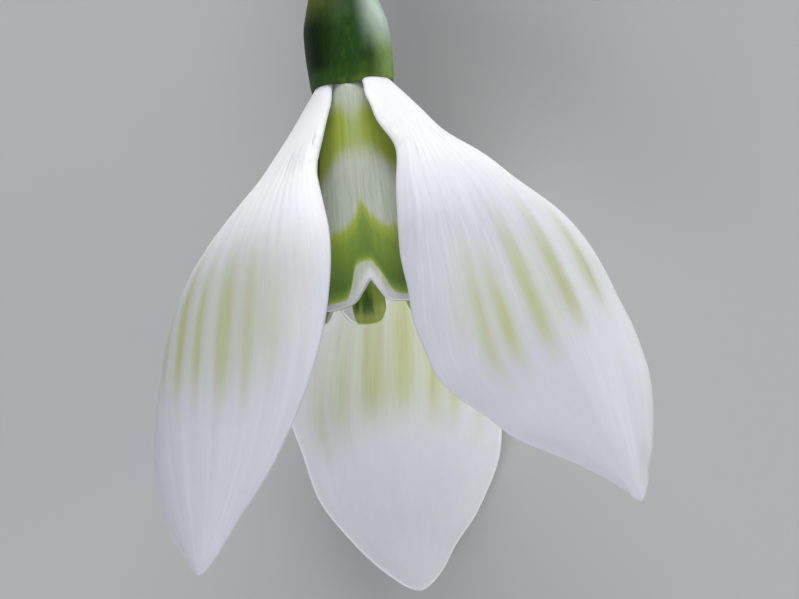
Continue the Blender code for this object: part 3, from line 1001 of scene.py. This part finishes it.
class SnowdropOuterSettings(bpy.types.PropertyGroup):
    thickness: length("Thickness", "Thickness of an outer tepal", 0.32 * MM)
    vein_relief: length("Vein Relief", "How far the veins stand out", 0.032 * MM)
    margin_ripple: length("Margin Ripple", "How far the margin waves", 0.12 * MM)
    cell_depth: length("Cell Depth", "Depth of the fine cell texture", 0.02 * MM)
    light_reach: length("Light Reach", "How far light travels inside the tissue", 0.9 * MM)
    translucency: share("Translucency", "Share of light that enters the tissue", 0.85)
    stripe_strength: share("Stripe Strength", "Strength of the green stripes", 0.85)
    white: colour("White", "Petal white", (0.90, 0.905, 0.93))
    cool_white: colour("Cool White", "Bluer petal white", (0.86, 0.87, 0.92))
    # Painted shade: the greyer colour laid over the lower blade
    painted_shade_colour: colour("Painted Shade", "Painted shade: greyer white on the lower blade", (0.51, 0.52, 0.585))
    vein_colour: colour("Vein Colour", "Darker lines between the veins", (0.72, 0.74, 0.82))
    stripe_colour: colour("Stripe Colour", "Green of the stripes", (0.365, 0.44, 0.20))
    stripe_olive: colour("Stripe Olive", "Olive of the stripes", (0.40, 0.405, 0.225))
    # Painted light: the lit copy of the stripe colour
    lit_stripe_colour: colour("Lit Stripe", "Painted light: paler stripes where no shade is painted", (0.60, 0.62, 0.30))


class SnowdropInnerSettings(bpy.types.PropertyGroup):
    thickness: length("Thickness", "Thickness of an inner tepal", 0.3 * MM)
    rib_relief: length("Rib Relief", "How far the ribs stand out", 0.018 * MM)
    cell_depth: length("Cell Depth", "Depth of the fine cell texture", 0.02 * MM)
    light_reach: length("Light Reach", "How far light travels inside the tissue", 0.3 * MM)
    translucency: share("Translucency", "Share of light that enters the tissue", 0.6)
    white: colour("White", "Petal white", (0.51, 0.55, 0.47))
    line_colour: colour("Line Colour", "Fine grey-green lines", (0.38, 0.44, 0.33))
    margin_colour: colour("Margin Colour", "White of the margin", (0.56, 0.58, 0.60))
    band_colour: colour("Band Colour", "Green of the base band", (0.31, 0.385, 0.042))
    fringe_colour: colour("Fringe Colour", "Yellow-green edge of the mark", (0.35, 0.43, 0.055))
    mark_colour: colour("Mark Colour", "Green of the mark", (0.19, 0.30, 0.04))
    mark_deep: colour("Deep Mark Colour", "Dark green low in the mark", (0.088, 0.165, 0.025))
    inner_deep: colour("Inner Rays", "Dark green rays of the inner face", (0.06, 0.12, 0.018))
    inner_edge: colour("Inner Edge", "Yellow-green edge of the rays", (0.46, 0.51, 0.12))
    # Painted light: lighter than the outer face's white, against the shade inside the cup
    inner_lit_white: colour("Inner Lit White", "White of the inner face, lightened: painted light", (0.72, 0.74, 0.71))


class SnowdropOvarySettings(bpy.types.PropertyGroup):
    green: colour("Green", "Main green", (0.014, 0.045, 0.006))
    blue_green: colour("Blue Green", "Bloomed green", (0.022, 0.062, 0.016))
    yellow_green: colour("Yellow Green", "Lighter patches", (0.065, 0.125, 0.014))
    # Painted shade: darkest green on the side away from the lights
    shaded_side_green: colour("Shaded Side Green", "Painted shade on one side", (0.004, 0.009, 0.003))
    # Painted highlight: pale sheen on the side towards the side light
    painted_sheen_colour: colour("Painted Sheen Colour", "Painted highlight on one side", (0.55, 0.68, 0.58))
    # Painted light: fresh green low on the lit side
    lit_side_colour: colour("Lit Side Colour", "Painted light: fresh green low on one side", (0.275, 0.43, 0.115))
    rim_colour: colour("Rim Colour", "Olive of the rim", (0.11, 0.15, 0.025))


class SnowdropStalkSettings(bpy.types.PropertyGroup):
    radius: length("Radius", "Radius of the stalk", 0.55 * MM)
    swell: number("Swell", "How much wider it is at the ovary", 0.06, min=0.0)
    green: colour("Green", "Main green", (0.085, 0.19, 0.035))
    pale_green: colour("Pale Green", "Paler streaks", (0.14, 0.27, 0.06))
    near_ovary: colour("Colour at Ovary", "Green where it meets the ovary", (0.035, 0.09, 0.014))


class SnowdropStamenSettings(bpy.types.PropertyGroup):
    count: IntProperty(name="Count", description="Number of stamens", min=1, default=STAMEN_COUNT)
    foot_radius: number("Foot Radius", "Ring of the filaments, in mm", 0.6)
    anther_radius: number("Anther Radius", "Ring of the anthers, in mm", 1.08)
    anther_colour: colour("Anther Colour", "Orange of the anthers", (0.82, 0.44, 0.06))
    anther_second: colour("Anther Second Colour", "Yellow of the anthers", (0.88, 0.60, 0.16))
    pale_colour: colour("Pale Colour", "White of the filaments and the style", (0.86, 0.88, 0.82))
    pale_second: colour("Pale Second Colour", "Greener white in them", (0.8, 0.84, 0.72))


class SnowdropStageSettings(bpy.types.PropertyGroup):
    floor_colour: colour("Floor Colour", "Plain pale floor", (0.43, 0.44, 0.435))
    key_power: number("Key Power", "Power of the key light", 4.0, unit="POWER")
    side_power: number("Side Power", "Power of the side light", 1.05, unit="POWER")
    fill_power: number("Fill Power", "Power of the fill light", 2.6, unit="POWER")
    room_light: number("Room Light", "Strength of the light all round", 0.22)


SETTINGS = {
    "snowdrop_outer": SnowdropOuterSettings,
    "snowdrop_inner": SnowdropInnerSettings,
    "snowdrop_ovary": SnowdropOvarySettings,
    "snowdrop_stalk": SnowdropStalkSettings,
    "snowdrop_stamens": SnowdropStamenSettings,
    "snowdrop_stage": SnowdropStageSettings,
}


# --- operators

class SNOWDROP_OT_outer_tepals(bpy.types.Operator):
    """Build the three large outer petals"""
    bl_idname = "snowdrop.outer_tepals"
    bl_label = "Outer Petals"

    def execute(self, context):
        settings = context.scene.snowdrop_outer
        material = outer_tepal_material(settings)
        for side, tepal in OUTER_TEPALS.items():
            build_outer_tepal(side, tepal, settings, material)
        return {"FINISHED"}


class SNOWDROP_OT_inner_tepals(bpy.types.Operator):
    """Build the three short inner petals"""
    bl_idname = "snowdrop.inner_tepals"
    bl_label = "Inner Petals"

    def execute(self, context):
        settings = context.scene.snowdrop_inner
        material = inner_tepal_material(settings)
        for place in INNER_TEPALS:
            build_inner_tepal(place, settings, material)
        return {"FINISHED"}


class SNOWDROP_OT_ovary(bpy.types.Operator):
    """Build the ovary"""
    bl_idname = "snowdrop.ovary"
    bl_label = "Ovary"

    def execute(self, context):
        settings = context.scene.snowdrop_ovary
        build_ovary(ovary_material(settings))
        return {"FINISHED"}


class SNOWDROP_OT_stalk(bpy.types.Operator):
    """Build the cut stalk"""
    bl_idname = "snowdrop.stalk"
    bl_label = "Stalk"

    def execute(self, context):
        settings = context.scene.snowdrop_stalk
        build_stalk(settings, stalk_material(settings))
        return {"FINISHED"}


class SNOWDROP_OT_stamens(bpy.types.Operator):
    """Build the ring of stamens and the style between them"""
    bl_idname = "snowdrop.stamens"
    bl_label = "Stamens and Style"

    def execute(self, context):
        settings = context.scene.snowdrop_stamens
        pale = plain_tissue("filament tissue", settings.pale_colour, settings.pale_second, 0.5, 2.0)
        pollen = plain_tissue("anther skin", settings.anther_colour, settings.anther_second, 0.55, 1.5)
        build_ring("filaments", "filament", filament_part(), settings.count, settings.foot_radius,
                   FILAMENT_DROP, FILAMENT_LEAN, pale)
        build_ring("anthers", "anther", anther_part(), settings.count, settings.anther_radius,
                   ANTHER_DROP, ANTHER_LEAN, pollen)
        build_style(pale)
        return {"FINISHED"}


class SNOWDROP_OT_stage(bpy.types.Operator):
    """Lay the pale floor, and set the lights and the camera"""
    bl_idname = "snowdrop.stage"
    bl_label = "Stage"

    def execute(self, context):
        build_stage(context, context.scene.snowdrop_stage)
        return {"FINISHED"}


# --- stage

CAMERA_HEIGHT = 215.0  # mm above the flower's axis
VIEW_WIDTH = 41.55  # mm across the view at that distance
VIEW_CENTRE = (2.47, -11.21)  # mm from the receptacle to the middle of the view
SENSOR_WIDTH = 36.0  # mm
FLOOR_REACH = 4.0  # metres from the middle to an edge
LIGHT_DISTANCE = 0.6  # metres


def floor_material(settings):
    shader = Shader("floor")
    lighter = tuple(min(1.0, value * 1.04) for value in settings.floor_colour)
    paper = shader.noise(shader.place(), 0.02, 2.0, 0.5)
    return shader.finish(shader.mix(paper, settings.floor_colour, lighter), 0.9, Specular_IOR_Level=0.1)


def add_softbox(name, direction, width, height, power, colour):
    """Soft light that faces the flower and isn't seen itself."""
    light = bpy.data.lights.new(name, "AREA")
    light.shape = "RECTANGLE"
    light.size = width
    light.size_y = height
    light.energy = power
    light.color = colour
    item = add_object(name, light)
    direction = Vector(direction).normalized()
    item.location = FLOWER.translation + direction * LIGHT_DISTANCE
    item.rotation_mode = "QUATERNION"
    item.rotation_quaternion = direction.to_track_quat("Z", "Y")
    item.visible_camera = False


def build_stage(context, settings):
    mesh = bpy.data.meshes.new("floor")
    corners = ((-1, -1), (1, -1), (1, 1), (-1, 1))
    mesh.from_pydata([(x * FLOOR_REACH, y * FLOOR_REACH, 0) for x, y in corners], [], [(0, 1, 2, 3)])
    floor = add_object("floor", mesh)
    floor.data.materials.append(floor_material(settings))
    add_softbox("key light", (-0.06, 0.94, 0.32), 0.5, 0.42, settings.key_power, (1.0, 0.99, 0.98))
    add_softbox("side light", (0.90, 0.32, 0.28), 0.42, 0.42, settings.side_power, (0.98, 0.99, 1.0))
    add_softbox("fill light", (-0.2, -0.72, 0.66), 0.42, 0.42, settings.fill_power, (0.97, 0.98, 1.0))
    world = bpy.data.worlds.new("soft room")
    world.use_nodes = True
    background = world.node_tree.nodes["Background"]
    background.inputs["Color"].default_value = (0.82, 0.84, 0.93, 1.0)
    background.inputs["Strength"].default_value = settings.room_light
    context.scene.world = world
    context.scene.view_settings.view_transform = "Standard"
    lens = bpy.data.cameras.new("camera")
    lens.sensor_width = SENSOR_WIDTH
    lens.lens = SENSOR_WIDTH * CAMERA_HEIGHT / VIEW_WIDTH
    lens.clip_start = 0.01
    lens.clip_end = 20.0
    camera = add_object("camera", lens)
    seat = FLOWER @ Vector((0.0, 0.0, -SEAT_GAP / 2))
    camera.location = seat + Vector((*VIEW_CENTRE, CAMERA_HEIGHT)) * MM
    context.scene.camera = camera


# --- panel and main

OPERATORS = (SNOWDROP_OT_outer_tepals, SNOWDROP_OT_inner_tepals, SNOWDROP_OT_ovary, SNOWDROP_OT_stalk,
             SNOWDROP_OT_stamens, SNOWDROP_OT_stage)


class SNOWDROP_PT_panel(bpy.types.Panel):
    """Sidebar panel that lists the flower's pieces"""
    bl_idname = "SNOWDROP_PT_panel"
    bl_label = "Snowdrop Flower"
    bl_space_type = "VIEW_3D"
    bl_region_type = "UI"
    bl_category = "Snowdrop"

    def draw(self, context):
        for operator in OPERATORS:
            self.layout.operator(operator.bl_idname)


CLASSES = (*SETTINGS.values(), *OPERATORS, SNOWDROP_PT_panel)


def register():
    for item in CLASSES:
        bpy.utils.register_class(item)
    for name, group in SETTINGS.items():
        setattr(bpy.types.Scene, name, PointerProperty(type=group))


def unregister():
    for name in SETTINGS:
        delattr(bpy.types.Scene, name)
    for item in reversed(CLASSES):
        bpy.utils.unregister_class(item)


def main():
    register()
    bpy.ops.snowdrop.stage()
    bpy.ops.snowdrop.outer_tepals()
    bpy.ops.snowdrop.inner_tepals()
    bpy.ops.snowdrop.ovary()
    bpy.ops.snowdrop.stalk()
    bpy.ops.snowdrop.stamens()


if __name__ == "__main__":
    main()
